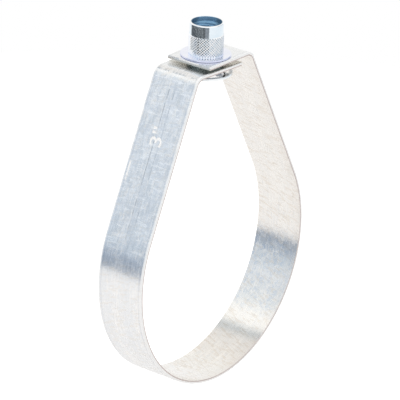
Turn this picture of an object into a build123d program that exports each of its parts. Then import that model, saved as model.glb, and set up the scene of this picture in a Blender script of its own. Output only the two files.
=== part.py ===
from build123d import *
from math import cos, pi, radians, sin, tan
import os

# Swivel ring hanger for a nominal 3 inch pipe, in millimetres.
# The rod axis is +Z and the pipe axis is Y. The origin is on the rod axis, on the top face of the
# upper end of the strap, where the nut's thin flange sits.

# The pipe and the ring that holds it
PIPE_OUTER_DIAMETER = 88.9  # nominal 3 inch steel pipe
PIPE_PLAY = 0.3  # gap between the pipe and the ring, at the radius

# The strap
STRAP_WIDTH = 19.05  # 3/4 inch strip
STRAP_THICKNESS = 1.2
BEND_INNER_RADIUS = 3.4
LEG_ANGLE = 26.0  # slope of each leg from the loop's centre line, in degrees
SEAT_HALF_SPAN = 14.5  # centre line to the outer face of a leg, at the height of the seat
LOOP_LEAN = 2.1  # the loop leans this far on its loose nut, in degrees
HOLE_OFFSET = 0.6  # the nut stands this far to the +X side of the loop's centre line
UPPER_END_LAND = 2.8  # strap left between the hole and the free edge of the upper end
LOWER_END_LAND = 2.2  # the same, on the lower end
END_CORNER_RADIUS = 0.5
LAP_GAP = 1.35  # open height between the two ends, at the nut axis
LAP_DROOP = 1.55  # the lower end falls away from the upper one towards its edge, in degrees

# The nut
THREAD_BORE_RADIUS = 3.97  # tapping bore of a 3/8 inch thread
THREAD_WALL = 1.93  # bore to the outside of the plain barrel
BARREL_HEIGHT = 12.1  # seat to mouth
PLAIN_TOP_HEIGHT = 4.2  # plain length of the barrel, down from the mouth
MOUTH_WALL = 0.7  # thin wall left round the wide mouth
MOUTH_DEPTH = 1.6  # full width of the mouth, before it slopes in to the thread
MOUTH_SLOPE = 45.0  # slope to the thread from the nut axis, in degrees
MOUTH_EDGE = 0.1  # broken outer edge of the mouth
FOOT_COUNTERSINK = 0.6
PLAIN_FOOT_HEIGHT = 0.8  # plain length of the barrel between the thin flange and the knurl
FLANGE_WIDTH = 3.0  # the thin flange stands this far out from the plain barrel
FLANGE_THICKNESS = 0.6
FLANGE_EDGE = 0.12
NECK_STEP = 0.5  # the neck is this much larger than the plain barrel, at the radius
BELL_OVERHANG = 0.175  # the bell's rim stands this much past the strap's long edges
BELL_DEPTH = 6.55  # seat to the underside of the bell
BELL_RIM_HEIGHT = 0.9
BELL_EDGE = 0.2

# The knurl, a field of flat-topped diamonds raised between two sets of crossing grooves
KNURL_COUNT = 39  # diamonds in one turn
KNURL_SWELL = 0.2  # the diamonds stand this much proud of the plain barrel
KNURL_DEPTH = 0.26  # top of a diamond to the groove
KNURL_LAND = 0.5  # width of a diamond's flat top, as a share of the width between grooves
KNURL_SLOPE = 45.0  # grooves from the nut axis, in degrees

# Clearances
NECK_CLEARANCE = 0.1  # neck in the strap's holes, at the radius
SEAT_CLEARANCE = 0.05  # each flange and the face of the strap that it bears on

ring_inner_radius = PIPE_OUTER_DIAMETER / 2 + PIPE_PLAY
ring_outer_radius = ring_inner_radius + STRAP_THICKNESS
barrel_radius = THREAD_BORE_RADIUS + THREAD_WALL
neck_radius = barrel_radius + NECK_STEP
hole_radius = neck_radius + NECK_CLEARANCE
bell_radius = STRAP_WIDTH / 2 + BELL_OVERHANG

leg_slope = radians(LEG_ANGLE)
lean = radians(LOOP_LEAN)
droop = radians(LAP_DROOP)

# How far up the loop's centre line the seat lies, seen from the pipe's axis. The outer face of each
# leg touches the ring's outside and passes SEAT_HALF_SPAN from the centre line at that height.
seat_height = (ring_outer_radius - SEAT_HALF_SPAN * cos(leg_slope)) / sin(leg_slope)
pipe_x = seat_height * sin(lean) - HOLE_OFFSET
pipe_z = -seat_height * cos(lean)

# The underside of each end of the strap, at the nut axis
upper_underside_z = -STRAP_THICKNESS
lower_top_z = upper_underside_z - LAP_GAP
lower_underside_z = lower_top_z - STRAP_THICKNESS / cos(droop)

# Each end of the strap in the XZ sketch: the way it runs, its way up, and the foot of its free edge
upper_way = Vector(1, 0)
upper_up = Vector(0, 1)
lower_way = Vector(cos(droop), -sin(droop))
lower_up = Vector(sin(droop), cos(droop))
upper_end_foot = Vector(0, upper_underside_z) - upper_way * (hole_radius + UPPER_END_LAND)
lower_end_foot = Vector(0, lower_underside_z) + lower_way * (hole_radius + LOWER_END_LAND)


def from_loop(across, up):
    """Point of the XZ sketch, from its place beside and along the loop's leaning centre line."""
    x = pipe_x + across * cos(lean) - up * sin(lean)
    z = pipe_z + across * sin(lean) + up * cos(lean)
    return Vector(x, z)


def crossing(point_a, way_a, point_b, way_b):
    """Point where two straight lines of the sketch meet."""
    run = (point_b - point_a).cross(way_b).Z / way_a.cross(way_b).Z
    return point_a + way_a * run


def leg_line(side, radius):
    """Point where a leg's line leaves a circle about the pipe, and its way up; side is 1 or -1."""
    touch_across = side * radius * cos(leg_slope)
    touch_up = radius * sin(leg_slope)
    touch = from_loop(touch_across, touch_up)
    further = from_loop(touch_across - side * sin(leg_slope), touch_up + cos(leg_slope))
    return touch, further - touch


def strap_line(depth):
    """Outline of the strap at a depth outside its inner face, from the upper end to the lower one."""
    radius = ring_inner_radius + depth
    right_touch, right_way = leg_line(1, radius)
    left_touch, left_way = leg_line(-1, radius)
    upper_end = upper_end_foot + upper_up * depth
    lower_end = lower_end_foot + lower_up * depth
    right_corner = crossing(right_touch, right_way, upper_end, upper_way)
    left_corner = crossing(left_touch, left_way, lower_end, lower_way)
    with BuildLine() as line:
        Line(upper_end, right_corner)
        Line(right_corner, right_touch)
        ThreePointArc(right_touch, from_loop(0, -radius), left_touch)
        Line(left_touch, left_corner)
        Line(left_corner, lower_end)
        bends = [line.vertices().sort_by_distance(corner)[0] for corner in (right_corner, left_corner)]
        fillet(bends, radius=BEND_INNER_RADIUS + depth)
    return line.line


def make_ring_band():
    """The folded strap: upper end, leg, ring, leg and lower end, in one strip of even thickness."""
    with BuildPart() as band:
        with BuildSketch(Plane.XZ):
            with BuildLine():
                add(strap_line(0))
                add(strap_line(STRAP_THICKNESS))
                Line(upper_end_foot, upper_end_foot + upper_up * STRAP_THICKNESS)
                Line(lower_end_foot, lower_end_foot + lower_up * STRAP_THICKNESS)
            make_face()
        extrude(amount=STRAP_WIDTH / 2, both=True)

        # The free corners of both ends are rounded in the flat strip
        for foot, up in ((upper_end_foot, upper_up), (lower_end_foot, lower_up)):
            middle = foot + up * (STRAP_THICKNESS / 2)
            for y in (-STRAP_WIDTH / 2, STRAP_WIDTH / 2):
                corner = band.edges().sort_by_distance(Vector(middle.X, y, middle.Y))[0]
                fillet(corner, radius=END_CORNER_RADIUS)

        # A hole square to each end, for the neck of the nut
        upper_middle = Location((0, 0, -STRAP_THICKNESS / 2))
        lower_middle = Location((0, 0, (lower_top_z + lower_underside_z) / 2), (0, LAP_DROOP, 0))
        with Locations(upper_middle, lower_middle):
            Cylinder(hole_radius, STRAP_THICKNESS + LAP_GAP, mode=Mode.SUBTRACT)
    return band.part


def make_knurl(bottom_z, top_z):
    """Solid drum between two heights, with the knurl's diamonds as flat facets.

    Diamonds and groove crossings take turns round each level, and change places from level to level.
    Each diamond has a flat top square to its own radius and four flat flanks. A flank runs down to
    the groove between two crossings. The first and last levels lie as deep as the grooves, so the
    knurl runs out before the plain barrel on both sides.
    """
    top_radius = barrel_radius + KNURL_SWELL
    groove_radius = top_radius - KNURL_DEPTH
    step = pi / KNURL_COUNT
    column_width = step * top_radius
    levels = max(2, round((top_z - bottom_z) * tan(radians(KNURL_SLOPE)) / column_width))
    level_height = (top_z - bottom_z) / levels

    # Half the size of a flat top. Its height is where the planes of the four flanks cut the top's
    # plane. All four would meet at the apex, far out on the diamond's own radius.
    crossing_out = groove_radius * cos(step)
    crossing_side = groove_radius * sin(step)
    top_side = KNURL_LAND * crossing_side
    apex = crossing_out + crossing_side * (top_radius - crossing_out) / (crossing_side - top_side)
    top_rise = level_height * (apex - top_radius) / (apex - groove_radius)

    def spot(column, level, out, side=0.0, rise=0.0):
        turn = column * step
        x = out * cos(turn) - side * sin(turn)
        y = out * sin(turn) + side * cos(turn)
        return Vector(x, y, bottom_z + level * level_height + rise)

    def crossing_spot(column, level):
        return spot(column, level, groove_radius)

    def facet(*corners):
        return Face(Wire.make_polygon(corners))

    facets = []
    for level in range(levels + 1):
        for column in range(level % 2, 2 * KNURL_COUNT, 2):
            right, left = crossing_spot(column + 1, level), crossing_spot(column - 1, level)
            if level == 0:
                facets.append(facet(left, right, crossing_spot(column, 1)))
            elif level == levels:
                facets.append(facet(left, right, crossing_spot(column, levels - 1)))
            else:
                below, above = crossing_spot(column, level - 1), crossing_spot(column, level + 1)
                top_right = spot(column, level, top_radius, side=top_side)
                top_left = spot(column, level, top_radius, side=-top_side)
                top_above = spot(column, level, top_radius, rise=top_rise)
                top_below = spot(column, level, top_radius, rise=-top_rise)
                facets.append(facet(top_right, top_above, top_left, top_below))
                facets.append(facet(right, above, top_above, top_right))
                facets.append(facet(above, left, top_left, top_above))
                facets.append(facet(left, below, top_below, top_left))
                facets.append(facet(below, right, top_right, top_below))
    for level in (0, levels):
        ring = range((level + 1) % 2, 2 * KNURL_COUNT, 2)
        facets.append(facet(*(crossing_spot(column, level) for column in ring)))
    return Solid(Shell(facets))


def make_swivel_nut():
    """The nut, turned about the rod axis: bell, neck, thin flange, knurled barrel and wide mouth."""
    rim_top = BELL_RIM_HEIGHT - BELL_DEPTH
    lower_end_lowest_z = lower_underside_z - hole_radius * tan(droop)
    shoulder_z = lower_end_lowest_z - SEAT_CLEARANCE
    flange_radius = barrel_radius + FLANGE_WIDTH
    flange_top = SEAT_CLEARANCE + FLANGE_THICKNESS
    knurl_bottom = flange_top + PLAIN_FOOT_HEIGHT
    knurl_top = BARREL_HEIGHT - PLAIN_TOP_HEIGHT
    mouth_radius = barrel_radius - MOUTH_WALL
    mouth_floor = BARREL_HEIGHT - MOUTH_DEPTH
    thread_top = mouth_floor - (mouth_radius - THREAD_BORE_RADIUS) / tan(radians(MOUTH_SLOPE))
    foot_radius = THREAD_BORE_RADIUS + FOOT_COUNTERSINK

    with BuildPart() as nut:
        # Everything below the knurl
        with BuildSketch(Plane.XZ):
            with BuildLine():
                Polyline(
                    (0, -BELL_DEPTH),
                    (bell_radius - BELL_EDGE, -BELL_DEPTH),
                    (bell_radius, BELL_EDGE - BELL_DEPTH),
                    (bell_radius, rim_top - BELL_EDGE),
                    (bell_radius - BELL_EDGE, rim_top),
                )
                # The bell's upper face leaves its rim level and sweeps up to the neck like a trumpet's
                TangentArc((bell_radius - BELL_EDGE, rim_top), (neck_radius, shoulder_z), tangent=(-1, 0))
                Polyline(
                    (neck_radius, shoulder_z),
                    (neck_radius, SEAT_CLEARANCE),
                    (flange_radius, SEAT_CLEARANCE),
                    (flange_radius, flange_top - FLANGE_EDGE),
                    (flange_radius - FLANGE_EDGE, flange_top),
                    (barrel_radius, flange_top),
                    (barrel_radius, knurl_bottom),
                    (0, knurl_bottom),
                    (0, -BELL_DEPTH),
                )
            make_face()
        revolve(axis=Axis.Z)

        add(make_knurl(knurl_bottom, knurl_top))

        # The plain top
        with Locations((0, 0, knurl_top)):
            Cylinder(barrel_radius, PLAIN_TOP_HEIGHT, align=(Align.CENTER, Align.CENTER, Align.MIN))
        chamfer(nut.edges().group_by(Axis.Z)[-1], length=MOUTH_EDGE)

        # The bore, with its wide mouth and countersunk foot
        with BuildSketch(Plane.XZ):
            Polygon(
                (0, -BELL_DEPTH),
                (foot_radius, -BELL_DEPTH),
                (THREAD_BORE_RADIUS, FOOT_COUNTERSINK - BELL_DEPTH),
                (THREAD_BORE_RADIUS, thread_top),
                (mouth_radius, mouth_floor),
                (mouth_radius, BARREL_HEIGHT),
                (0, BARREL_HEIGHT),
                align=None,
            )
        revolve(axis=Axis.Z, mode=Mode.SUBTRACT)
    return nut.part


parts = {
    "ring_band": make_ring_band(),
    "swivel_nut": make_swivel_nut(),
}
os.makedirs("parts", exist_ok=True)
for name, part in parts.items():
    part.label = name
    export_step(part, f"parts/{name}.step")
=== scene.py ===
# %% [markdown]
# # A swivel ring hanger in Blender
#
# This lesson dresses a hanger for a 3 inch pipe. The real thing has two pieces. A steel strap is
# folded into a teardrop, and a turned nut passes through its two flat ends. The pipe lies in the
# strap, and a threaded rod from the ceiling screws into the nut.
#
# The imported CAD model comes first, as a fixed frame. It says where everything is, in metres, with
# the origin on the rod's axis and on the top face of the strap's upper end. Z runs up the rod and Y
# runs along the pipe.

# %% The fixed frame
from math import atan2, cos, pi, radians, sin, tan

import bmesh
import bpy
from mathutils import Matrix, Vector


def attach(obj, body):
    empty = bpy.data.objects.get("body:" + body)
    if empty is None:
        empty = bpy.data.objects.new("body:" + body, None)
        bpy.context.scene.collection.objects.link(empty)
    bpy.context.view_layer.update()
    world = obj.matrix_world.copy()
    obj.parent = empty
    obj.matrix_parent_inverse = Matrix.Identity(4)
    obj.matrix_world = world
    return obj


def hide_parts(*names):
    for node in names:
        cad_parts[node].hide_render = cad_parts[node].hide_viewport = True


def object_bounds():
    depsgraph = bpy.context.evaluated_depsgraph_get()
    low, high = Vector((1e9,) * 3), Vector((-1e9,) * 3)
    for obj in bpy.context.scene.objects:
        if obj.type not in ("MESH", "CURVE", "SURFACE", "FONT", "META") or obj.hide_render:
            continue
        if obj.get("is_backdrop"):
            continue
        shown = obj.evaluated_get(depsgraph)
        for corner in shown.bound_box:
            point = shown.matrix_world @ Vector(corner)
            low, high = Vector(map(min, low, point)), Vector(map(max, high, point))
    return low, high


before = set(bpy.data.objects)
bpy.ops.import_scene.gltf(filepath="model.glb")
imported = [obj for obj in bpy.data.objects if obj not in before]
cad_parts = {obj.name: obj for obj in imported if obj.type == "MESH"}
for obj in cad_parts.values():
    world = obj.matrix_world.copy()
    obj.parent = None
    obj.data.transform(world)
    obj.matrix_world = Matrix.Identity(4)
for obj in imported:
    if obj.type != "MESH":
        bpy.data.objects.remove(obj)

MM = 0.001


def in_mm(lengths):
    """Lengths in millimetres, ready to print."""
    return [round(x / MM, 2) for x in lengths]


cad_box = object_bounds()
print("CAD nodes:", sorted(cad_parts), "box:", [in_mm(corner) for corner in cad_box])

# %% [markdown]
# ## The camera
#
# The photograph was taken from the front left, a little above the hanger, with a long lens. A long
# lens keeps the far edge of the strap almost as large as the near one. The camera could be placed by
# eye, but a small error in its height already changes the shape of the loop. So its three angles,
# its distance and its focal length come from matching the hanger's corners and edges.

# %% The camera
CAMERA_TURN = radians(-52.16)
CAMERA_RISE = radians(22.39)
CAMERA_ROLL = radians(2.03)
CAMERA_DISTANCE = 1208.4 * MM
MIDDLE_TO_THE_RIGHT = -1.96 * MM
MIDDLE_UPWARDS = -50.33 * MM
FOCAL_LENGTH_IN_PIXELS = 3497
PHOTO_SIDE_IN_PIXELS = 400
SENSOR_WIDTH = 36

towards_camera = Vector((
    sin(CAMERA_TURN) * cos(CAMERA_RISE),
    -cos(CAMERA_TURN) * cos(CAMERA_RISE),
    sin(CAMERA_RISE),
))
level_right = Vector((cos(CAMERA_TURN), sin(CAMERA_TURN), 0))
level_up = towards_camera.cross(level_right)
photo_right = level_right * cos(CAMERA_ROLL) + level_up * sin(CAMERA_ROLL)
photo_up = level_up * cos(CAMERA_ROLL) - level_right * sin(CAMERA_ROLL)
photo_middle = photo_right * MIDDLE_TO_THE_RIGHT + photo_up * MIDDLE_UPWARDS
camera_place = photo_middle + towards_camera * CAMERA_DISTANCE
camera_axes = Matrix((photo_right, photo_up, towards_camera)).transposed().to_4x4()

camera = bpy.data.objects.new("photo_camera", bpy.data.cameras.new("photo_camera"))
camera.data.sensor_width = SENSOR_WIDTH
camera.data.lens = SENSOR_WIDTH * FOCAL_LENGTH_IN_PIXELS / PHOTO_SIDE_IN_PIXELS
camera.data.clip_start = 50 * MM
camera.matrix_world = Matrix.Translation(camera_place) @ camera_axes
bpy.context.scene.collection.objects.link(camera)
bpy.context.scene.camera = camera
print("camera at", in_mm(camera_place), "lens", round(camera.data.lens, 1))

# %% [markdown]
# ## The route of the strap
#
# The strap starts as a flat blank and is folded cold. Seen from the pipe's end it is a chain of
# straights and arcs: the upper end, a tight bend, a leg, the ring, a leg, a tight bend and the lower
# end. All of its bends turn the same way.
#
# The blank keeps its length only along the middle of its thickness, so the chain is worked out
# there. The two corners are where the straights would meet without a bend, and each bend then takes
# its share from both sides.

# %% The route of the strap
STRAP_WIDTH = 19.05 * MM
STRAP_THICKNESS = 1.2 * MM
RING_INNER_RADIUS = 44.75 * MM
BEND_INNER_RADIUS = 3.4 * MM
LEG_ANGLE = radians(26)
LOOP_LEAN = radians(2.1)
SEAT_HALF_SPAN = 14.5 * MM
HOLE_OFFSET = 0.6 * MM
HOLE_RADIUS = 6.5 * MM
UPPER_END_REACH = 9.3 * MM
LOWER_END_REACH = 8.7 * MM
LAP_GAP = 1.35 * MM
LAP_DROOP = radians(1.55)

outer_radius = RING_INNER_RADIUS + STRAP_THICKNESS
middle_radius = RING_INNER_RADIUS + STRAP_THICKNESS / 2
bend_radius = BEND_INNER_RADIUS + STRAP_THICKNESS / 2
seat_height = (outer_radius - SEAT_HALF_SPAN * cos(LEG_ANGLE)) / sin(LEG_ANGLE)
pipe_centre = Vector((seat_height * sin(LOOP_LEAN) - HOLE_OFFSET, -seat_height * cos(LOOP_LEAN)))


def heading(angle):
    """The way that a line at this angle runs, in the plane of the loop."""
    return Vector((cos(angle), sin(angle)))


def crossing(point_a, way_a, point_b, way_b):
    """The point where two straight lines meet."""
    across = way_a.x * way_b.y - way_a.y * way_b.x
    apart = point_b - point_a
    return point_a + way_a * ((apart.x * way_b.y - apart.y * way_b.x) / across)


right_leg = LEG_ANGLE - pi / 2 + LOOP_LEAN
left_leg = pi / 2 - LEG_ANGLE + LOOP_LEAN
right_touch = pipe_centre + heading(LEG_ANGLE + LOOP_LEAN) * middle_radius
left_touch = pipe_centre + heading(pi - LEG_ANGLE + LOOP_LEAN) * middle_radius
upper_start = Vector((-UPPER_END_REACH, -STRAP_THICKNESS / 2))
drooped_half = STRAP_THICKNESS / 2 / cos(LAP_DROOP)
lower_middle = Vector((0, -STRAP_THICKNESS - LAP_GAP - drooped_half))
lower_finish = lower_middle + heading(-LAP_DROOP) * LOWER_END_REACH
right_corner = crossing(upper_start, heading(0), right_touch, heading(right_leg))
left_corner = crossing(left_touch, heading(left_leg), lower_finish, heading(-LAP_DROOP))
right_turn = -right_leg
left_turn = left_leg + LAP_DROOP
ring_turn = pi + 2 * LEG_ANGLE
right_share = bend_radius * tan(right_turn / 2)
left_share = bend_radius * tan(left_turn / 2)

# Each run is its length and the angle that it turns through, clockwise as the photograph sees it
route = [
    ((right_corner - upper_start).length - right_share, 0),
    (bend_radius * right_turn, right_turn),
    ((right_touch - right_corner).length - right_share, 0),
    (middle_radius * ring_turn, ring_turn),
    ((left_corner - left_touch).length - left_share, 0),
    (bend_radius * left_turn, left_turn),
    ((lower_finish - left_corner).length - left_share, 0),
]
RING, LEFT_LEG, LOWER_BEND = 3, 4, 5


def run_start(run):
    """How far along the blank one run of the route begins."""
    return sum(length for length, turn in route[:run])


blank_length = run_start(len(route))
left_touch_x = run_start(LEFT_LEG)
lower_bend_x = run_start(LOWER_BEND)
print("blank", round(blank_length / MM, 1), "mm long, runs", in_mm(length for length, turn in route))


# %% [markdown]
# ## Folding by numbers
#
# `fold` takes a point of the flat blank to its place on the folded strap. It walks along the route
# until the point's run, then steps out of the middle by the point's height in the blank. The blank's
# length is X, its width is Y, and its top face becomes the outside of the loop.

# %% Fold
def fold(point):
    """The folded place of a point of the flat blank."""
    place, angle, left = upper_start.copy(), 0.0, point.x
    for run, (length, turn) in enumerate(route):
        last = run == len(route) - 1
        here = left if last else min(max(left, 0), length)
        if turn:
            radius = length / turn
            turned = here / radius
            centre = place + heading(angle - pi / 2) * radius
            place = centre + heading(angle - turned + pi / 2) * radius
            angle -= turned
        else:
            place = place + heading(angle) * here
        left -= here
        if left <= 0:
            break
    out = place + heading(angle + pi / 2) * point.z
    return Vector((out.x, point.y, out.y))


landed = fold(Vector((blank_length, 0, 0)))
print("lower end lands at", in_mm(landed), "wanted", in_mm(lower_finish))

# %% [markdown]
# ## The flat blank
#
# The factory shears the blank from galvanised strip, rounds its four corners and punches two holes.
# We do the same: a plate, a bevel on its four upright corner edges, and two round cutters. It could
# also be drawn as an outline and filled, but cutting a plate gives closed walls without any care.

# %% The blank with its corners and holes
END_CORNER_RADIUS = 0.5 * MM
END_CORNER_STEPS = 6
HOLE_STEPS = 64


def new_object(name, bm):
    """A mesh object at the origin, made from a bmesh, which it frees."""
    mesh = bpy.data.meshes.new(name)
    bm.to_mesh(mesh)
    bm.free()
    piece = bpy.data.objects.new(name, mesh)
    bpy.context.scene.collection.objects.link(piece)
    return piece


def evaluated_mesh(piece):
    """The mesh that an object shows, with its modifiers or its glyphs worked out."""
    depsgraph = bpy.context.evaluated_depsgraph_get()
    return bpy.data.meshes.new_from_object(piece.evaluated_get(depsgraph))


def cut_away(piece, cutter):
    """Cuts one closed object out of another, and deletes the cutter."""
    cut = piece.modifiers.new("cut", "BOOLEAN")
    cut.operation = "DIFFERENCE"
    cut.solver = "EXACT"
    cut.object = cutter
    shape = evaluated_mesh(piece)
    piece.modifiers.clear()
    piece.data = shape
    bpy.data.objects.remove(cutter)


bm = bmesh.new()
bmesh.ops.create_cube(bm, size=1)
bmesh.ops.scale(bm, vec=(blank_length, STRAP_WIDTH, STRAP_THICKNESS), verts=bm.verts)
bmesh.ops.translate(bm, vec=(blank_length / 2, 0, 0), verts=bm.verts)
upright = [e for e in bm.edges if abs(e.verts[0].co.z - e.verts[1].co.z) > STRAP_THICKNESS / 2]
bmesh.ops.bevel(
    bm,
    geom=upright,
    affect="EDGES",
    offset=END_CORNER_RADIUS,
    segments=END_CORNER_STEPS,
    profile=0.5,
    material=-1,
)
strap = new_object("folded_strap", bm)

for hole_x in (UPPER_END_REACH, blank_length - LOWER_END_REACH):
    bm = bmesh.new()
    bmesh.ops.create_cone(
        bm,
        cap_ends=True,
        segments=HOLE_STEPS,
        radius1=HOLE_RADIUS,
        radius2=HOLE_RADIUS,
        depth=4 * STRAP_THICKNESS,
    )
    bmesh.ops.translate(bm, vec=(hole_x, 0, 0), verts=bm.verts)
    cut_away(strap, new_object("hole_punch", bm))
print("blank has", len(strap.data.vertices), "points")

# %% [markdown]
# ## The size mark
#
# The left leg carries a size mark that was stamped while the strip was flat. It is a plain 3 with
# inch marks, and it reads up the leg. Blender's text object gives the shapes of the glyphs. Each one
# is made bolder, turned into a mesh, stretched to the stamp's wide proportions and used as a punch.

# %% The size mark
MARK_DEPTH = 0.16 * MM
MARK_BOLDNESS = 0.07 * MM
GLYPH_SIZE = 8 * MM
WELD = 0.001 * MM


def glyph_punch(body, wide, tall, up_leg, across_leg):
    """A closed punch with one glyph's shape, stretched and placed, in millimetres up the leg."""
    text = bpy.data.curves.new("size_punch", "FONT")
    text.body = body
    text.size = GLYPH_SIZE
    text.offset = MARK_BOLDNESS
    text.extrude = 2 * MARK_DEPTH
    text.resolution_u = 3
    letters = bpy.data.objects.new("size_punch", text)
    bpy.context.scene.collection.objects.link(letters)
    bm = bmesh.new()
    bm.from_mesh(evaluated_mesh(letters))
    bpy.data.objects.remove(letters)
    bmesh.ops.remove_doubles(bm, verts=bm.verts, dist=2 * WELD)
    bmesh.ops.recalc_face_normals(bm, faces=bm.faces)
    bmesh.ops.scale(bm, vec=(wide, tall, 1), verts=bm.verts)
    place = Vector((left_touch_x + up_leg * MM, across_leg * MM, STRAP_THICKNESS / 2 + MARK_DEPTH))
    bmesh.ops.translate(bm, vec=place, verts=bm.verts)
    size = [max(v.co[i] for v in bm.verts) - min(v.co[i] for v in bm.verts) for i in (0, 1)]
    print("glyph", body, in_mm(size))
    return new_object("size_punch", bm)


cut_away(strap, glyph_punch("3", wide=1.12, tall=0.88, up_leg=32.2, across_leg=-2.2))
cut_away(strap, glyph_punch('"', wide=1.15, tall=0.75, up_leg=36.5, across_leg=-1.6))
print("marked blank has", len(strap.data.vertices), "points")

# %% [markdown]
# ## Rolled edges, then the folds
#
# Shearing drags the strip's long edges down a little, so each one shows as a thin line beside the
# cut face. Cuts along the blank give rows of points near the edges, which are then lowered.
#
# A flat face can't bend, so the blank is also cut across at short steps wherever it will curve. The
# steps are a little over two degrees in the ring and four in the tight bends.

# %% Rolled edges and folds
EDGE_ROLL_WIDTH = 0.5 * MM
EDGE_ROLL_DROP = 0.1 * MM
EDGE_ROLL_ROWS = (1, 0.7, 0.45, 0.2)
CUT_EDGE_BREAK = 0.07 * MM
RING_STEP = radians(2.2)
BEND_STEP = radians(4)
SHARP_ANGLE = radians(50)


def slice_through(bm, place, normal):
    """Cuts all faces along a plane and keeps both sides."""
    everything = bm.verts[:] + bm.edges[:] + bm.faces[:]
    bmesh.ops.bisect_plane(bm, geom=everything, plane_co=place, plane_no=normal, dist=WELD / 10)


bm = bmesh.new()
bm.from_mesh(strap.data)
stations = []
for run, (length, turn) in enumerate(route):
    steps = max(1, round(turn / (RING_STEP if run == RING else BEND_STEP)))
    stations += [run_start(run) + length * i / steps for i in range(1, steps + 1)]
for x in stations[:-1]:
    slice_through(bm, (x, 0, 0), (1, 0, 0))
for row in EDGE_ROLL_ROWS:
    for side in (-1, 1):
        slice_through(bm, (0, side * (STRAP_WIDTH / 2 - row * EDGE_ROLL_WIDTH), 0), (0, 1, 0))
for v in bm.verts:
    near = 1 - (STRAP_WIDTH / 2 - abs(v.co.y)) / EDGE_ROLL_WIDTH
    if near > 0 and v.co.z > STRAP_THICKNESS / 4:
        v.co.z -= EDGE_ROLL_DROP * near * near
bm.normal_update()
sharp = [e for e in bm.edges if e.calc_face_angle() > SHARP_ANGLE]
long_edges = [e for e in sharp if all(abs(v.co.y) > STRAP_WIDTH / 2 - WELD for v in e.verts)]
rim = [e for e in long_edges if abs(e.verts[0].co.x - e.verts[1].co.x) > WELD]
bmesh.ops.bevel(
    bm,
    geom=rim,
    affect="EDGES",
    offset=CUT_EDGE_BREAK,
    segments=2,
    profile=0.5,
    material=-1,
    clamp_overlap=True,
)
print("strap in the flat:", len(bm.faces), "faces,", len(rim), "broken edges")


# %% Keep the flat place of every point, then fold
def keep_flats_flat(piece, sharp_angle):
    """Marks the sharp edges, and turns the normals so that flat faces look flat."""
    piece.data.set_sharp_from_angle(angle=radians(sharp_angle))
    weighted = piece.modifiers.new("flat_faces_stay_flat", "WEIGHTED_NORMAL")
    weighted.keep_sharp = True


flat_place = bm.verts.layers.float_vector.new("flat_place")
for v in bm.verts:
    v[flat_place] = v.co.copy()
    v.co = fold(v.co)
bmesh.ops.recalc_face_normals(bm, faces=bm.faces)
for f in bm.faces:
    f.smooth = True
bm.to_mesh(strap.data)
bm.free()
keep_flats_flat(strap, sharp_angle=35)
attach(strap, "loop")
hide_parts("ring_band")
print("strap:", len(strap.data.polygons), "faces")

# %% [markdown]
# ## The turned nut
#
# The nut is turned from bar on a lathe, so its shape is one profile spun about the rod's axis. From
# below it is a wide bell, a neck, a thin flange and a barrel. The profile starts as one point.
# Straight parts are extruded from the last point, and curved parts are that point spun about the
# curve's own centre.

# %% A profile drawn from one point
NUT_STEPS = 78


class Profile:
    """A line of points and edges in the XZ plane, which grows from its last point."""

    def __init__(self, x, z):
        self.bm = bmesh.new()
        self.last = bmesh.ops.create_vert(self.bm, co=(x * MM, 0, z * MM))["vert"][0]

    def line_to(self, x, z):
        grown = bmesh.ops.extrude_vert_indiv(self.bm, verts=[self.last])
        self.last = grown["verts"][0]
        self.last.co = (x * MM, 0, z * MM)
        return self

    def arc(self, centre_x, centre_z, turn, steps):
        """Turns the last point about a centre. A positive turn is anticlockwise, with X right."""
        grown = bmesh.ops.spin(
            self.bm,
            geom=[self.last],
            cent=(centre_x * MM, 0, centre_z * MM),
            axis=(0, -1, 0),
            angle=radians(turn),
            steps=steps,
        )
        self.last = [item for item in grown["geom_last"] if isinstance(item, bmesh.types.BMVert)][0]
        return self

    def foot_corner(self, x, z, radius, steps):
        """Runs outwards and rounds the corner at (x, z), to run up."""
        return self.line_to(x - radius, z).arc(x - radius, z + radius, 90, steps)

    def head_corner(self, x, z, radius, steps):
        """Runs up and rounds the corner at (x, z), to run inwards."""
        return self.line_to(x, z - radius).arc(x - radius, z - radius, 90, steps)


def spin_round(bm, angle=2 * pi, steps=NUT_STEPS, lift=0.0):
    """Spins all points and edges about the rod's axis. A full turn closes on itself."""
    bmesh.ops.spin(
        bm,
        geom=bm.verts[:] + bm.edges[:],
        cent=(0, 0, 0),
        axis=(0, 0, 1),
        dvec=(0, 0, lift),
        angle=angle,
        steps=steps,
        use_merge=angle == 2 * pi,
    )


# %% The nut's profile, in millimetres
BLANK_BORE_RADIUS = 2
THREAD_BORE_RADIUS = 3.97
BARREL_RADIUS = 5.9
BARREL_HEIGHT = 12.1
PLAIN_TOP_HEIGHT = 4.2
PLAIN_FOOT_HEIGHT = 0.06
BARREL_ROUNDING = 0.36
NECK_RADIUS = 6.4
FLANGE_RADIUS = 8.9
FLANGE_THICKNESS = 0.6
FLANGE_FOOT_ROUNDING = 0.1
FLANGE_HEAD_ROUNDING = 0.2
SEAT_CLEARANCE = 0.05
BELL_RADIUS = 9.7
BELL_DEPTH = 6.55
BELL_RIM_HEIGHT = 0.9
BELL_FOOT_ROUNDING = 0.2
BELL_HEAD_ROUNDING = 0.32
TRUMPET_INSET = 0.14
SHOULDER_STEP = 0.02
KNURL_COUNT = 39
KNURL_SWELL = 0.2
KNURL_DEPTH = 0.26
KNURL_FLAT = 0.6

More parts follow.
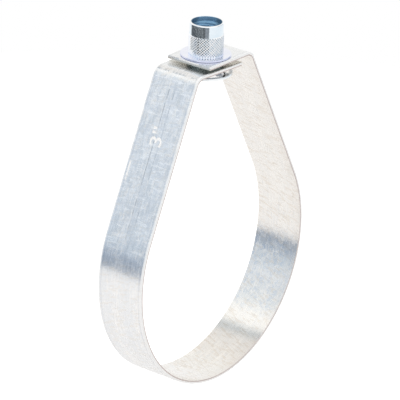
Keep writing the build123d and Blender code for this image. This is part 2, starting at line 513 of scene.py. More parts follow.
rim_top = BELL_RIM_HEIGHT - BELL_DEPTH
flange_top = SEAT_CLEARANCE + FLANGE_THICKNESS
knurl_bottom = flange_top + PLAIN_FOOT_HEIGHT
knurl_top = BARREL_HEIGHT - PLAIN_TOP_HEIGHT
lower_underside = (lower_middle.y - drooped_half) / MM
shoulder = lower_underside - HOLE_RADIUS / MM * tan(LAP_DROOP) - SEAT_CLEARANCE
diamond_radius = BARREL_RADIUS + KNURL_SWELL
groove_radius = diamond_radius - KNURL_DEPTH
knurl_levels = round((knurl_top - knurl_bottom) * KNURL_COUNT / (pi * diamond_radius))
level_height = (knurl_top - knurl_bottom) / knurl_levels

# The trumpet curve leaves the rim level and ends at the shoulder, a little inside the neck
reach = BELL_RADIUS - BELL_FOOT_ROUNDING - NECK_RADIUS
rise = shoulder - rim_top
trumpet_radius = (reach * reach + rise * rise) / (2 * rise)
trumpet_turn = atan2(reach, trumpet_radius - rise) / radians(1)
trumpet_start = BELL_RADIUS - BELL_FOOT_ROUNDING - TRUMPET_INSET

profile = Profile(BLANK_BORE_RADIUS, -BELL_DEPTH)
profile.foot_corner(BELL_RADIUS, -BELL_DEPTH, BELL_FOOT_ROUNDING, 4)
profile.head_corner(BELL_RADIUS, rim_top, BELL_HEAD_ROUNDING, 6)
profile.line_to(trumpet_start, rim_top)
profile.arc(trumpet_start, rim_top + trumpet_radius, -trumpet_turn, 16)
profile.line_to(NECK_RADIUS, shoulder + SHOULDER_STEP)
profile.line_to(NECK_RADIUS, SEAT_CLEARANCE)
profile.foot_corner(FLANGE_RADIUS, SEAT_CLEARANCE, FLANGE_FOOT_ROUNDING, 3)
profile.head_corner(FLANGE_RADIUS, flange_top, FLANGE_HEAD_ROUNDING, 5)
profile.line_to(BARREL_RADIUS, flange_top)
profile.line_to(BARREL_RADIUS, knurl_bottom)
for level in range(knurl_levels + 1):
    profile.line_to(groove_radius, knurl_bottom + level * level_height)
profile.line_to(BARREL_RADIUS, knurl_top)
profile.head_corner(BARREL_RADIUS, BARREL_HEIGHT, BARREL_ROUNDING, 6)
profile.line_to(BLANK_BORE_RADIUS, BARREL_HEIGHT)
profile.line_to(BLANK_BORE_RADIUS, -BELL_DEPTH)
bm = profile.bm
bmesh.ops.remove_doubles(bm, verts=bm.verts, dist=WELD)
spin_round(bm)
bmesh.ops.remove_doubles(bm, verts=bm.verts, dist=WELD)
bmesh.ops.recalc_face_normals(bm, faces=bm.faces)
print("turned blank:", len(bm.faces), "faces,", sum(not e.is_manifold for e in bm.edges), "open edges")
print("knurl:", knurl_levels, "levels,", round(level_height, 3), "mm each")

# %% [markdown]
# ## The diamond knurl
#
# Two hard wheels roll slanted grooves into the barrel, one set each way, and the metal between them
# rises as small diamonds. The wheels don't press to their full depth here, so each diamond keeps a
# flat top. The flat tops mirror the same thing as the plain band above them, and the grooves shine.
#
# The rings of the spin cross the barrel at every half diamond. So every second point of that grid is
# a groove crossing, and every other one is the middle of a diamond. Each square is split along its
# groove, and the middles are pulled out. A vertex bevel then cuts each peak off, and KNURL_FLAT says
# how much of the diamond stays flat.

# %% The knurl
turn_step = 2 * pi / NUT_STEPS


def is_middle(v):
    """True at the middle of a diamond, and False where two grooves cross."""
    level = round((v.co.z / MM - knurl_bottom) / level_height)
    column = round(atan2(v.co.y, v.co.x) / turn_step)
    return (level + column) % 2 == 0


groove_points = {v for v in bm.verts if abs(v.co.xy.length - groove_radius * MM) < WELD}
for face in [f for f in bm.faces if groove_points.issuperset(f.verts)]:
    groove = [v for v in face.verts if not is_middle(v)]
    bmesh.utils.face_split(face, *groove)
lowest, highest = knurl_bottom + level_height / 2, knurl_top - level_height / 2
peaks = [v for v in groove_points if is_middle(v) and lowest < v.co.z / MM < highest]
peaks.sort(key=lambda v: v.index)
for v in peaks:
    v.co.xy *= (groove_radius + KNURL_DEPTH / (1 - KNURL_FLAT)) / groove_radius
bmesh.ops.bevel(
    bm,
    geom=peaks,
    affect="VERTICES",
    offset_type="PERCENT",
    offset=100 * KNURL_FLAT,
    segments=1,
    profile=0.5,
    material=-1,
)
for f in bm.faces:
    f.smooth = True
nut = new_object("turned_nut", bm)
print("knurl:", len(peaks), "diamonds")

# %% [markdown]
# ## The bore
#
# The bore is tapped for a 3/8 inch rod with 16 turns to the inch. One tooth of the tap is a short
# zigzag. Spun about the axis with a small lift at every step it winds into the whole tap, and each
# turn meets the last one exactly. The tap is then cut out of the nut with a boolean, the way a real
# one cuts it.
#
# Above the thread the bore opens into a wide plain mouth, which leads the rod in and leaves a thin
# wall. The mouth and the foot's countersink are turned plugs, and they are cut away last.

# %% The tap
PITCH = 25.4 / 16
THREAD_ROOT_RADIUS = 4.76
ROOT_FLAT = PITCH / 8
FLANK_ANGLE = radians(30)
TAP_STEPS = 48
MOUTH_RADIUS = 5.2
MOUTH_DEPTH = 1.6
MOUTH_INNER_BREAK = 0.1
FOOT_COUNTERSINK = 0.6

mouth_floor = BARREL_HEIGHT - MOUTH_DEPTH
thread_top = mouth_floor - (MOUTH_RADIUS - THREAD_BORE_RADIUS)
turns = int((thread_top + BELL_DEPTH) / PITCH) + 3
flank = (THREAD_ROOT_RADIUS - THREAD_BORE_RADIUS) * tan(FLANK_ANGLE)
crest = PITCH - 2 * flank - ROOT_FLAT
tooth = Profile(THREAD_BORE_RADIUS, 0)
tooth.line_to(THREAD_BORE_RADIUS, crest)
tooth.line_to(THREAD_ROOT_RADIUS, crest + flank)
tooth.line_to(THREAD_ROOT_RADIUS, crest + flank + ROOT_FLAT)
tooth.line_to(THREAD_BORE_RADIUS, PITCH)
bm = tooth.bm

# The tap starts a turn and a half below the nut, and ends past the top of the thread
bmesh.ops.translate(bm, vec=(0, 0, (-BELL_DEPTH - 1.5 * PITCH) * MM), verts=bm.verts)
spin_round(bm, 2 * pi * turns, TAP_STEPS * turns, PITCH * MM / TAP_STEPS)
bmesh.ops.remove_doubles(bm, verts=bm.verts, dist=2 * WELD)
bmesh.ops.holes_fill(bm, edges=[e for e in bm.edges if e.is_boundary], sides=0)
bmesh.ops.triangulate(bm, faces=[f for f in bm.faces if len(f.verts) > 4])
bmesh.ops.recalc_face_normals(bm, faces=bm.faces)
print("tap:", len(bm.faces), "faces,", sum(not e.is_manifold for e in bm.edges), "left open")
cut_away(nut, new_object("tap", bm))


# %% The mouth and the countersink
PLUG_CORE = 1
OVERREACH = 1


def turned_plug(name, *points):
    """A closed turned solid, from (radius, height) points. It starts and ends near the axis."""
    plug = Profile(*points[0])
    for radius, height in points[1:]:
        plug.line_to(radius, height)
    bm = plug.bm
    spin_round(bm)
    bmesh.ops.holes_fill(bm, edges=[e for e in bm.edges if e.is_boundary], sides=0)
    bmesh.ops.recalc_face_normals(bm, faces=bm.faces)
    return new_object(name, bm)


plug_top = BARREL_HEIGHT - MOUTH_INNER_BREAK + OVERREACH
mouth = turned_plug(
    "mouth_plug",
    (PLUG_CORE, thread_top - OVERREACH),
    (THREAD_BORE_RADIUS - OVERREACH, thread_top - OVERREACH),
    (MOUTH_RADIUS, mouth_floor),
    (MOUTH_RADIUS, BARREL_HEIGHT - MOUTH_INNER_BREAK),
    (MOUTH_RADIUS + OVERREACH, plug_top),
    (PLUG_CORE, plug_top),
)
cut_away(nut, mouth)
foot = turned_plug(
    "foot_plug",
    (PLUG_CORE, -BELL_DEPTH - OVERREACH),
    (THREAD_BORE_RADIUS + FOOT_COUNTERSINK + OVERREACH, -BELL_DEPTH - OVERREACH),
    (THREAD_BORE_RADIUS - OVERREACH, FOOT_COUNTERSINK - BELL_DEPTH + OVERREACH),
    (PLUG_CORE, FOOT_COUNTERSINK - BELL_DEPTH + OVERREACH),
)
cut_away(nut, foot)

bm = bmesh.new()
bm.from_mesh(nut.data)
print("nut:", len(bm.faces), "faces,", sum(not e.is_manifold for e in bm.edges), "open edges")
bm.free()
keep_flats_flat(nut, sharp_angle=32)
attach(nut, "nut")
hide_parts("swivel_nut")


# %% [markdown]
# ## Shader maths in Python
#
# A material is a graph of nodes, and a long graph is hard to read as calls. This small class wraps
# one socket, so that maths on it reads as maths. `noise * 0.2 + 0.5` adds the two Math nodes it
# needs. Colours and vectors go through Mix and Vector Math, because a Math node turns them grey.
#
# A mask is a value from 0 to 1 that says where something is. `band` makes one edge of a mask,
# `zone` two edges, and `line_at` a narrow line. `layered` then lays colours over each other, each
# where its mask says.

# %% A wrapped socket
WHITE = (1.0, 1.0, 1.0)


def set_inputs(node, sockets):
    """Links or sets a node's inputs, by name with _ for a space, or by number as in s0."""
    for name, value in sockets.items():
        key = int(name[1:]) if name[0] == "s" and name[1:].isdigit() else name.replace("_", " ")
        if isinstance(value, Wire):
            value.tree.links.new(value.socket, node.inputs[key])
        else:
            node.inputs[key].default_value = value


class Wire:
    """One output socket of a node graph, with maths on it."""

    def __init__(self, tree, socket):
        self.tree, self.socket = tree, socket

    def node(self, kind, settings=None, output=0, **sockets):
        """Adds a node, sets it up, links or sets its inputs, and returns one of its outputs."""
        made = self.tree.nodes.new(kind)
        for name, value in (settings or {}).items():
            if name == "ramp":
                stops = made.color_ramp.elements
                stops.remove(stops[1])
                stops[0].position, stops[0].color = value[0][0], (*value[0][1], 1)
                for position, colour in value[1:]:
                    stops.new(position).color = (*colour, 1)
            else:
                setattr(made, name, value)
        set_inputs(made, sockets)
        return Wire(self.tree, made.outputs[output])

    def maths(self, operation, *values):
        """Adds one Math node."""
        sockets = {f"s{i}": value for i, value in enumerate(values)}
        return self.node("ShaderNodeMath", {"operation": operation}, **sockets)

    def __add__(self, other):
        return self.maths("ADD", self, other)

    def __sub__(self, other):
        return self.maths("SUBTRACT", self, other)

    def __mul__(self, other):
        return self.maths("MULTIPLY", self, other)

    def __truediv__(self, other):
        return self.maths("DIVIDE", self, other)

    def __radd__(self, other):
        return self.maths("ADD", other, self)

    def __rsub__(self, other):
        return self.maths("SUBTRACT", other, self)

    def __rmul__(self, other):
        return self.maths("MULTIPLY", other, self)

    def __rtruediv__(self, other):
        return self.maths("DIVIDE", other, self)

    def bigger(self, other):
        """The larger of two values. It joins two masks."""
        return self.maths("MAXIMUM", self, other)

    def size(self):
        """This value without its sign."""
        return self.maths("ABSOLUTE", self)

    def band(self, low, high):
        """0 below low, 1 above high, and smooth between. It falls where low is above high."""
        ends = (low, high, 0.0, 1.0) if low < high else (high, low, 1.0, 0.0)
        limits = dict(zip(("From_Min", "From_Max", "To_Min", "To_Max"), ends))
        settings = {"interpolation_type": "SMOOTHSTEP"}
        return self.node("ShaderNodeMapRange", settings, Value=self, **limits)

    def zone(self, start, full, fading, end):
        """1 from full to fading, 0 before start and past end, and smooth between."""
        return self.band(start, full) * self.band(end, fading)

    def line_at(self, centre, core, edge):
        """1 within core of the centre, 0 beyond edge from it, and smooth between."""
        return (self - centre).size().band(edge, core)

    def part(self, axis):
        """One coordinate of this vector."""
        return self.node("ShaderNodeSeparateXYZ", output="XYZ".index(axis), Vector=self)

    def stretch(self, x, y, z):
        """This vector times a number for each axis. A small one draws a pattern out along it."""
        return self.node("ShaderNodeVectorMath", {"operation": "MULTIPLY"}, s0=self, s1=(x, y, z))

    def distance(self, point):
        """How far this vector is from a point."""
        settings = {"operation": "DISTANCE"}
        return self.node("ShaderNodeVectorMath", settings, output=1, s0=self, s1=point)

    def turned(self, angle):
        """This vector turned about Z."""
        settings = {"rotation_type": "Z_AXIS"}
        return self.node("ShaderNodeVectorRotate", settings, Vector=self, Angle=angle)

    def noise(self, scale, detail=2.0, roughness=0.5, seed=0.0):
        """Soft random patches. Their features are about 1 / scale apart, in metres."""
        looks = {"Scale": scale, "Detail": detail, "Roughness": roughness, "W": seed}
        return self.node("ShaderNodeTexNoise", {"noise_dimensions": "4D"}, Vector=self, **looks)

    def tint(self, colour_a, colour_b):
        """Mixes two colours by this value."""
        colours = {"s6": as_colour(colour_a), "s7": as_colour(colour_b)}
        return self.node("ShaderNodeMix", {"data_type": "RGBA"}, output=2, s0=self, **colours)


def as_colour(value):
    """A colour with its alpha, or a wire as it is."""
    return value if isinstance(value, Wire) else (*value, 1)


def layered(colour, *layers):
    """A colour with others laid over it in turn. Each layer is a mask and a colour."""
    for mask, layer_colour in layers:
        colour = mask.tint(colour, layer_colour)
    return colour


def new_material(name):
    """An empty material, its tree, and its shader."""
    material = bpy.data.materials.new(name)
    material.use_nodes = True
    tree = material.node_tree
    shader = tree.nodes["Principled BSDF"]
    return material, tree, shader


def place_of(tree, attribute=None):
    """Where the shading point is: the object's own coordinates, or a vector kept in the mesh."""
    if attribute:
        node = tree.nodes.new("ShaderNodeAttribute")
        node.attribute_name = attribute
        return Wire(tree, node.outputs["Vector"])
    return Wire(tree, tree.nodes.new("ShaderNodeTexCoord").outputs["Object"])


def give_material(piece, material):
    """Makes this the only material of a piece."""
    piece.data.materials.clear()
    piece.data.materials.append(material)


print("wires ready")

# %% [markdown]
# ## Galvanised strip
#
# The strap is cut from strip that was galvanised in the mill. The zinc is almost white. Where it is
# smooth it mirrors the room softly, and where it is matt it only glows. The rolls leave smooth and
# matt lines along the strip, a few tenths of a millimetre wide, and the rest is mottled. The pattern
# could be roughness alone, but then a sharp edge in the mirrored room runs down in drips. So the
# roughness changes only a little, and a slight change of tone does the rest. The inner side is
# warmer than the outer one. Handling adds short brush marks that slant across the strip, and rubs
# the left leg and the ring's inner side.
#
# The pattern has to follow the strip through its bends, so it reads the flat place of each point,
# which the mesh keeps in `flat_place`. The masks read it in millimetres, and the noises in metres.
# A noise that is stretched 20 times along X gives the lines.

# %% The zinc
# Zones along the strip in millimetres: where each one starts, is full, begins to fade and ends
RUBBED_INSIDE = (108, 116, 138, 146)
BRUSH_SLANT = radians(72)

galvanised, tree, shader = new_material("galvanised_strip")
flat = place_of(tree, "flat_place")
along, across, height = (flat.part(axis) / MM for axis in "XYZ")
up_leg = along - left_touch_x / MM
past_leg = along - lower_bend_x / MM
to_finish = blank_length / MM - along
outside = height.band(-0.1, 0.1)
inside = 1 - outside

stripes = flat.stretch(0.015, 1, 1).noise(420, detail=2, roughness=0.5, seed=12).band(0.34, 0.66)
rolling = flat.stretch(0.05, 1, 1).noise(1300, detail=3, roughness=0.65, seed=2).band(0.35, 0.68)
hairlines = flat.stretch(0.03, 1, 1).noise(4200, detail=1, seed=4).band(0.5, 0.7)
mottle = flat.stretch(0.4, 1, 1).noise(1300, detail=3, roughness=0.7, seed=1).band(0.36, 0.66)
clouds = flat.noise(190, detail=3, roughness=0.6, seed=8).band(0.35, 0.68)
slanted = flat.turned(BRUSH_SLANT)
brushed = slanted.stretch(0.24, 1, 1).noise(1150, detail=2, roughness=0.6, seed=5).band(0.5, 0.62)

on_ends = along.band(22, 20).bigger(to_finish.band(23.5, 21.5))
matt = (stripes * 0.22 + rolling * 0.26 + mottle * 0.34 + clouds * 0.18).band(0.28, 0.78)
matt = matt + on_ends * 0.85 * (0.3 - matt)
outer_zinc = matt.tint((0.85, 0.87, 0.895), (0.965, 0.96, 0.955))
inner_zinc = matt.tint((0.9, 0.885, 0.86), (0.965, 0.945, 0.915))

handled = up_leg.band(-14, -2) * past_leg.band(1, 0) * outside
grey_rubs = flat.stretch(0.3, 1, 1).noise(620, detail=4, roughness=0.75, seed=23).band(0.47, 0.6)
over_the_strip = flat.stretch(1, 0.22, 1)
white_rubs = over_the_strip.noise(1000, detail=3, roughness=0.7, seed=27).band(0.53, 0.64)
dark_rubs = over_the_strip.noise(1000, detail=3, roughness=0.7, seed=29).band(0.51, 0.62)
inner_rubs = flat.noise(560, detail=4, roughness=0.75, seed=31).band(0.47, 0.6)
inner_rubs = inner_rubs * along.zone(*RUBBED_INSIDE) * inside

zinc = layered(
    outside.tint(inner_zinc, outer_zinc),
    (hairlines * (0.42 - on_ends * 0.34), (0.74, 0.76, 0.79)),
    (brushed * (0.75 - outside * 0.35) * (1 - on_ends * 0.7), (0.83, 0.78, 0.72)),
    (grey_rubs * handled * 0.75, (0.68, 0.715, 0.75)),
    (white_rubs * handled * 0.85, WHITE),
    (dark_rubs * handled * 0.55, (0.7, 0.73, 0.78)),
    (inner_rubs * 0.8, (0.73, 0.77, 0.82)),
)
print("zinc tones ready")

# %% [markdown]
# ## Marks on the strip
#
# Three marks tell this strip's story. Two broken dark lines from the rolls run up the middle of the
# left leg, and low down the strip is grey between them. A short bright scratch lies near the leg's
# far edge. The stamp that pressed the size mark also scuffed it, so the digit shines white from
# every side.
#
# The long edges were sheared. A sheared edge is bright where the blade slid along it, and grey and
# slightly pink where the last part tore. The outer face is painted white where it rolls down to the
# cut, a painted highlight, with a thin grey line beside the white one. Where the two ends lie over
# each other, the faces between them are painted dull and dark, as painted shade. Under the lower end,
# above the bell, the inner face is painted pure white, as painted light for the bell to mirror.
# Where the mirrored room changes sharply from white to dark, the zinc is kept even in its gloss, so
# that the change stays one clean line.

# %% Lines, scratch, stamp and edges
LINE_GREY = (0.42, 0.46, 0.51)
half_width = STRAP_WIDTH / 2 / MM
half_thickness = STRAP_THICKNESS / 2 / MM

outer_leg = up_leg.band(-3, 2) * outside
line_breaks = flat.stretch(0.3, 0.1, 1).noise(900, detail=2, seed=11).band(0.42, 0.56)
wandering = across - flat.stretch(1, 0, 0).noise(60, seed=14) * 1.2
roll_line = wandering.line_at(0.3, 0.08, 0.26) * line_breaks * outer_leg
beside_line = wandering.line_at(0.75, 0.1, 0.3) * outer_leg
second_line = wandering.line_at(-2.1, 0.1, 0.34) * line_breaks * outer_leg
between_lines = wandering.line_at(-0.9, 0.9, 1.5) * up_leg.band(34, 10) * outer_leg

from_middle = across.size()
scratch = across.line_at(8.1, 0.26, 0.46) * up_leg.zone(18.5, 19.2, 25, 26) * outside
stamped = height.band(half_thickness - 0.02, half_thickness - 0.06) * from_middle.band(4.4, 4.2)
# painted highlight: the outer face is painted white where it rolls down to both long edges
painted_edge_highlight = from_middle.band(half_width - 0.75, half_width - 0.4) * outside
beside_edge = from_middle.line_at(8.4, 0.1, 0.4) * outside
near_side = across.band(-4, -9.5) * inside
scuffs_and_edge_highlight = (scratch * line_breaks).bigger(stamped * outside).bigger(painted_edge_highlight * 0.6)

under_upper_end = along.band(17.5, 16.5) * inside
over_lower_end = to_finish.band(18.3, 17.6) * outside
under_lower_end = to_finish.band(20.5, 19.5) * inside

sheared = from_middle.band(half_width - 0.06, half_width - 0.02)
tear_line = flat.stretch(1, 0, 0).noise(1500, detail=3, seed=17) * 0.5 - 0.4
slid = (height - tear_line).band(-0.06, 0.04)
torn_zinc = slid.tint((0.60, 0.53, 0.515), (0.95, 0.95, 0.945))

zinc = layered(
    zinc,
    (between_lines * (0.25 + rolling * 0.4), (0.68, 0.71, 0.75)),
    (beside_line * 0.35, (0.97, 0.97, 0.965)),
    (roll_line * 0.75, LINE_GREY),
    (second_line * 0.5, LINE_GREY),
    (beside_edge * 0.3, (0.6, 0.64, 0.7)),
    (near_side * 0.35, (0.84, 0.8, 0.76)),
    # the scratch and the stamped digit, with the painted highlight on the rolled edges
    (scuffs_and_edge_highlight * 0.9, (1.0, 0.995, 0.985)),
    # painted shade: the faces between the two ends are painted dull and dark
    (under_upper_end.bigger(over_lower_end) * 0.7, (0.56, 0.545, 0.485)),
    # painted light: the inner face of the lower end, above the bell, is painted pure white for the
    # bell to mirror
    (under_lower_end, WHITE),
    (sheared, torn_zinc),
)

# %% The strap's gloss and relief
# Zones along the strip in millimetres where the gloss is kept even
CALM_LOW_INSIDE = (140, 150, 168, 178)
CALM_RIGHT_INSIDE = (102, 107, 115, 120)
CALM_LOW_OUTSIDE = (240, 246, 258, 264)

calm_inside = along.zone(*CALM_LOW_INSIDE).bigger(along.zone(*CALM_RIGHT_INSIDE) * 0.6) * inside
calm_outside = along.zone(*CALM_LOW_OUTSIDE) * outside
matt = matt + calm_inside.bigger(calm_outside * 0.7) * (0.1 - matt)
rough = (0.17 + matt * 0.28 + scuffs_and_edge_highlight * 0.3 + sheared * 0.1) * (1 - under_lower_end * 0.8)
relief = rolling * 0.3 + mottle * 0.3 + clouds * 1.6 - roll_line * 0.6
bump = relief.node("ShaderNodeBump", Strength=0.16, Distance=0.04 * MM, Height=relief)
metal = 1 - scuffs_and_edge_highlight * 0.85
set_inputs(shader, {"Base_Color": zinc, "Metallic": metal, "Roughness": rough, "Normal": bump})
give_material(strap, galvanised)
print("strap dressed")

# %% [markdown]
# ## Bright zinc on the nut
#
# The nut is zinc plated and then dipped, which leaves a thin clear film. The film tints the zinc
# sky blue on the barrel and lavender on the flange, and it gathers blue violet on the flange's rim.
# Plating hardly reaches into the bore, so there it is thin, rough and deep blue. Its two sides across
# the view are painted darker still, as painted shade. The neck between the strap's ends is painted
# dull and dark, as painted shade. The bell is painted lighter than the rest of the nut, its upper face
# a little lighter than its rim, as painted light for its shaded gap under the strap. It has one
# painted dark patch that stands in for a dark reflection, and a thin line of painted shade in its
# rim's corner.
# The barrel's top rim is painted almost white, a painted highlight.
#
# The knurling wheels don't press evenly, so some grooves are bright and others stay dull. Turning
# each point back round the axis by its height makes one set of grooves upright, and a noise that
# ignores height then gives each groove its own tone. The other set is turned the other way. The
# flat tops of the diamonds are painted dark, as painted shade, and on one side across the view they
# are painted light instead, as a painted highlight.

# %% The nut's zones, in millimetres
# Where a painted dark patch on the bell stands in for a dark reflection
DARK_PATCH_PLACE = (-1.2 * MM, -8.1 * MM, -5.4 * MM)
PAINTED_LIGHT_SIDE = radians(128)

plated, tree, shader = new_material("bright_zinc")
spot = place_of(tree)
from_axis = spot.stretch(1, 1, 0).distance((0, 0, 0))
radius, height = from_axis / MM, spot.part("Z") / MM
sideways = (spot.part("Y") * sin(PAINTED_LIGHT_SIDE) + spot.part("X") * cos(PAINTED_LIGHT_SIDE)) / MM
film = spot.noise(260, detail=2, seed=6).band(0.3, 0.7)

on_rim = height.band(BARREL_HEIGHT - 0.35, BARREL_HEIGHT - 0.25)
in_bore = radius.band(5.5, 5.3)
# painted shade: the bore is darker on its two sides across the view
painted_bore_shade = sideways.size().band(2.2, 4.4)
above_strap = height.band(-0.1, 0.05)
on_flange_rim = radius.band(8.7, 8.86) * above_strap
on_flange = radius.band(5.9, 6) * above_strap * height.band(flange_top + 0.05, flange_top + 0.02)
on_neck = height.zone(shoulder, shoulder + 0.1, -0.02, 0.02) * radius.band(7, 6.6)
on_bell = height.band(shoulder + 0.1, shoulder)
on_trumpet = on_bell * height.band(rim_top + 0.02, rim_top + 0.1)
in_corner = height.line_at(rim_top, 0.06, 0.2) * radius.band(9.55, 9.4)
painted_dark_patch = (spot.distance(DARK_PATCH_PLACE) / MM + film * 0.7).band(1.9, 1.5)
on_knurl = height.zone(knurl_bottom - 0.05, knurl_bottom + 0.1, knurl_top - 0.1, knurl_top + 0.05)
on_knurl = on_knurl * (1 - in_bore)
on_flats = radius.band(diamond_radius - 0.06, diamond_radius - 0.03)
painted_light_on_flats = sideways.band(1.6, 3.2)

# %% The uneven grooves
TWIST = pi / KNURL_COUNT / level_height


def groove_tones(way, seed):
    """A tone for each groove of the set that slants this way."""
    upright = spot.turned(height * (way * TWIST)).stretch(1, 1, 0)
    return upright.noise(1200, detail=1, roughness=0.5, seed=seed).band(0.42, 0.58)


grooves = groove_tones(1, 21).bigger(groove_tones(-1, 33))

# %% The nut's material
lathe_plane = spot.node("ShaderNodeCombineXYZ", X=from_axis, Y=spot.part("Z"))
turning = lathe_plane.noise(9000, detail=2, seed=3)
specks = spot.stretch(1, 1, 0.5).noise(2600, detail=3, roughness=0.7, seed=9).band(0.4, 0.7)

pressed = grooves.tint((0.84, 0.9, 0.95), WHITE)
# painted shade on the flat tops, and a painted highlight on them on one side across the view
flats = specks.tint((0.46, 0.52, 0.58), (0.28, 0.33, 0.39))
flats = painted_light_on_flats.tint(flats, (0.9, 0.93, 0.96))
bore_film = film.tint((0.28, 0.48, 0.66), (0.36, 0.58, 0.76))
coat = layered(
    film.tint((0.74, 0.85, 0.93), (0.83, 0.91, 0.97)),
    (specks * 0.16, (0.6, 0.66, 0.72)),
    (on_knurl, on_flats.tint(pressed, flats)),
    (on_flange, film.tint((0.85, 0.87, 0.98), (0.9, 0.91, 0.985))),
    (on_flange_rim, (0.72, 0.75, 0.93)),
    # painted highlight: the barrel's top rim is painted almost white
    (on_rim, (0.99, 0.995, 1.0)),
    # painted light: the bell is painted near white, its upper face pure white, to lighten it under the
    # strap
    (on_bell, on_trumpet.tint((0.94, 0.97, 0.99), WHITE)),
    # painted shade: a thin dark line in the corner at the bell's rim
    (in_corner * 0.7, (0.3, 0.34, 0.38)),
    # painted reflection: a dark patch on the bell stands in for a mirrored shadow
    (painted_dark_patch * on_bell * 0.85, (0.2, 0.22, 0.25)),
    (in_bore, painted_bore_shade.tint(bore_film, (0.17, 0.29, 0.4))),
    # painted shade: the neck between the strap's ends is painted dull and dark
    (on_neck, (0.3, 0.36, 0.38)),
)
rough = turning * 0.03 + film * 0.02 + specks * 0.04 + 0.03 + in_bore * 0.6
relief = turning + specks * 1.5
bump = relief.node("ShaderNodeBump", Strength=0.12, Distance=0.01 * MM, Height=relief)
set_inputs(shader, {"Base_Color": coat, "Metallic": 1, "Roughness": rough, "Normal": bump})
give_material(nut, plated)
print("nut dressed")

# %% [markdown]
# ## The studio
#
# Polished metal shows little of its own colour. It shows the room, so the room is the other half of
# the finish. Here it is a white table in a white room, with cards round it:
#
# - A tall blue grey card stands behind on the left. The left leg mirrors it, and so does the inside
#   of the ring. Its white foot makes the sharp change of tone low on both sides of the ring.
# - A white card and a narrow dark strip stand beside it, and cross the ring's inside lower down.
# - A warm card is next. The bottom of the ring mirrors it.
# - A rear card stands opposite the first one. The photograph hardly sees it, but the strap mirrors
#   it from behind and when the loop has swivelled, and without it the zinc is white on white there.
# - Two curtains hang past the table's edge, a dark one and a grey one. Only the nut sees over the
#   edge and mirrors them, as the dark half of its plain band.
#
# The cards and the table are staged, so they aren't part of the hanger. The cards show in mirrored
# rays alone. They are hidden from the camera, and they neither cast shadows nor dim the soft light
# that falls on matt zinc. In the same way the lamps light the hanger but never show in it.

# %% The room and the table
world = bpy.data.worlds.new("white_room")
bpy.context.scene.world = world
world.use_nodes = True
tree = world.node_tree
back = tree.nodes["Background"]


def seen_directly(tree):
    """Two masks: what the camera sees, and what shows in metal or through glass."""
    path = tree.nodes.new("ShaderNodeLightPath")
    rays = ("Is Camera Ray", "Is Glossy Ray", "Is Transmission Ray")
    camera_ray, mirrored, through = (Wire(tree, path.outputs[ray]) for ray in rays)
    return camera_ray, mirrored.bigger(through)


camera_ray, in_metal = seen_directly(tree)
room = camera_ray.bigger(in_metal).tint((0.8, 0.8, 0.8), WHITE)
set_inputs(back, {"Color": room, "Strength": 1})

TABLE_RADIUS = 0.38
TABLE_MIDDLE = (0.008, 0.014)
TABLE_HEIGHT = cad_box[0].z - 22 * MM
TABLE_STEPS = 128
bm = bmesh.new()
bmesh.ops.create_circle(bm, cap_ends=True, segments=TABLE_STEPS, radius=TABLE_RADIUS)
bmesh.ops.translate(bm, vec=(*TABLE_MIDDLE, TABLE_HEIGHT), verts=bm.verts)
table = new_object("table", bm)
paper, tree, shader = new_material("white_paper")
camera_ray, in_metal = seen_directly(tree)
set_inputs(shader, {
    "Base_Color": (0.92, 0.905, 0.89, 1),
    "Roughness": 1,
    "Specular_IOR_Level": 0,
    "Emission_Color": (camera_ray * 0.5 + in_metal * 0.075).tint((0, 0, 0), WHITE),
    "Emission_Strength": 1,
})
give_material(table, paper)
table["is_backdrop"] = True
print("table at", round(TABLE_HEIGHT / MM, 1), "mm")


# %% The cards
CARD_RADIUS = 0.75
CURTAIN_RADIUS = 0.76
CARD_STEPS = 24


def card(name, radius, turn_from, turn_to, stops, folds=0.0):
    """A curved card round the hanger. stops are its heights in metres and their colours."""
    bottom, top = stops[0][0], stops[-1][0]
    edge = heading(radians(turn_from)) * radius
    bm = bmesh.new()
    foot = bmesh.ops.create_vert(bm, co=(edge.x, edge.y, bottom))
    head = bmesh.ops.extrude_vert_indiv(bm, verts=foot["vert"])
    head["verts"][0].co.z = top
    spin_round(bm, radians(turn_to - turn_from), CARD_STEPS)
    piece = new_object(name, bm)
    material, tree, _ = new_material(name)
    place = place_of(tree)
    share = (place.part("Z") - bottom) / (top - bottom)
    ramp = [((z - bottom) / (top - bottom), colour) for z, colour in stops]
    colour = share.node("ShaderNodeValToRGB", {"ramp": ramp}, Fac=share)
    if folds:
        pleats = place.stretch(1, 1, 0.1).noise(9, detail=3, roughness=0.6, seed=5).band(0.45, 0.7)
        colour = (pleats * folds).tint(colour, WHITE)
    emission = share.node("ShaderNodeEmission", Color=colour, Strength=1.0)
    set_inputs(tree.nodes["Material Output"], {"Surface": emission})
    give_material(piece, material)
    piece.visible_camera = False
    piece.visible_shadow = False
    piece.visible_diffuse = False
    piece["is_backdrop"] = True
    print(name, "from", turn_from, "to", turn_to, "degrees")


card("blue_grey_card", CARD_RADIUS, 119, 178, [
    (-0.236, (0.95, 0.94, 0.92)),
    (-0.197, (0.95, 0.94, 0.92)),
    (-0.192, (0.31, 0.365, 0.445)),
    (-0.12, (0.33, 0.385, 0.465)),
    (-0.05, (0.43, 0.5, 0.6)),
    (0.03, (0.65, 0.72, 0.79)),
    (0.12, (0.68, 0.75, 0.82)),
    (0.225, (0.85, 0.9, 0.96)),
    (0.34, (0.78, 0.83, 0.88)),
    (0.49, (0.82, 0.87, 0.91)),
    (0.66, (0.83, 0.88, 0.92)),
    (0.73, (1.12, 1.12, 1.1)),
    (1.2, (1.12, 1.12, 1.1)),
])
card("white_card", CARD_RADIUS, 100, 119, [
    (0.1, (1.0, 0.99, 0.97)),
    (0.7, (1.0, 1.0, 0.98)),
    (0.8, (1.12, 1.12, 1.1)),
    (1.3, (1.12, 1.12, 1.1)),
])
card("dark_strip", CARD_RADIUS, 86, 100, [
    (0.8, (0.46, 0.51, 0.54)),
    (1.3, (0.46, 0.51, 0.54)),
])
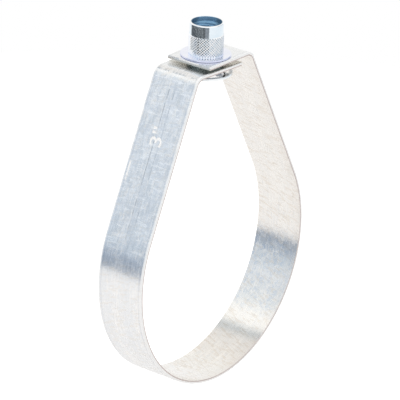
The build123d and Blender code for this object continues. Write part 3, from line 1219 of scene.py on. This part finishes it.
card("warm_card", CARD_RADIUS, 28, 86, [
    (0.1, (0.965, 0.95, 0.925)),
    (0.28, (0.97, 0.965, 0.945)),
    (0.41, (0.97, 0.965, 0.94)),
    (0.56, (0.945, 0.925, 0.89)),
    (0.73, (0.91, 0.88, 0.845)),
    (0.89, (0.86, 0.85, 0.825)),
    (1.0, (0.82, 0.8, 0.775)),
    (1.3, (0.82, 0.8, 0.775)),
])
card("rear_card", CARD_RADIUS, 292, 358, [
    (-0.13, (0.95, 0.95, 0.94)),
    (-0.1, (0.5, 0.56, 0.63)),
    (0.1, (0.62, 0.68, 0.74)),
    (0.34, (0.75, 0.79, 0.83)),
    (0.7, (0.85, 0.88, 0.9)),
    (1.0, (1.0, 1.0, 1.0)),
])
card("dark_curtain", CURTAIN_RADIUS, 96, 211, [
    (-0.62, (0.08, 0.085, 0.09)),
    (-0.225, (0.09, 0.095, 0.1)),
], folds=0.16)
card("grey_curtain", CURTAIN_RADIUS, 211, 236, [
    (-0.62, (0.25, 0.26, 0.28)),
    (-0.225, (0.25, 0.26, 0.28)),
], folds=0.1)

# %% The lamps
LAMP_AIM = Vector((0, 0, -0.06))


def lamp(name, place, size, strength):
    """A square soft box that points at the hanger. strength is how bright its face looks."""
    data = bpy.data.lights.new(name, "AREA")
    data.size = size
    data.energy = strength * pi * size * size
    piece = bpy.data.objects.new(name, data)
    bpy.context.scene.collection.objects.link(piece)
    place = Vector(place)
    turned = (place - LAMP_AIM).to_track_quat("Z", "Y").to_matrix().to_4x4()
    piece.matrix_world = Matrix.Translation(place) @ turned
    piece.visible_glossy = False
    print(name, "at", tuple(place))


lamp("top_soft_box", (0.1, 0.3, 1.2), size=0.9, strength=1.2)
lamp("left_soft_box", (-0.8, -0.1, 0.5), size=0.4, strength=1.6)

# %% [markdown]
# ## The last words
#
# The picture keeps Blender's plain view transform, so that a colour shows about as it is written.
# The box of the dressed hanger is written beside the CAD box, to see that it never outgrows it.

# %% Finish
bpy.context.scene.view_settings.view_transform = "Standard"
dressed_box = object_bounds()
print("dressed box:", [in_mm(corner) for corner in dressed_box])
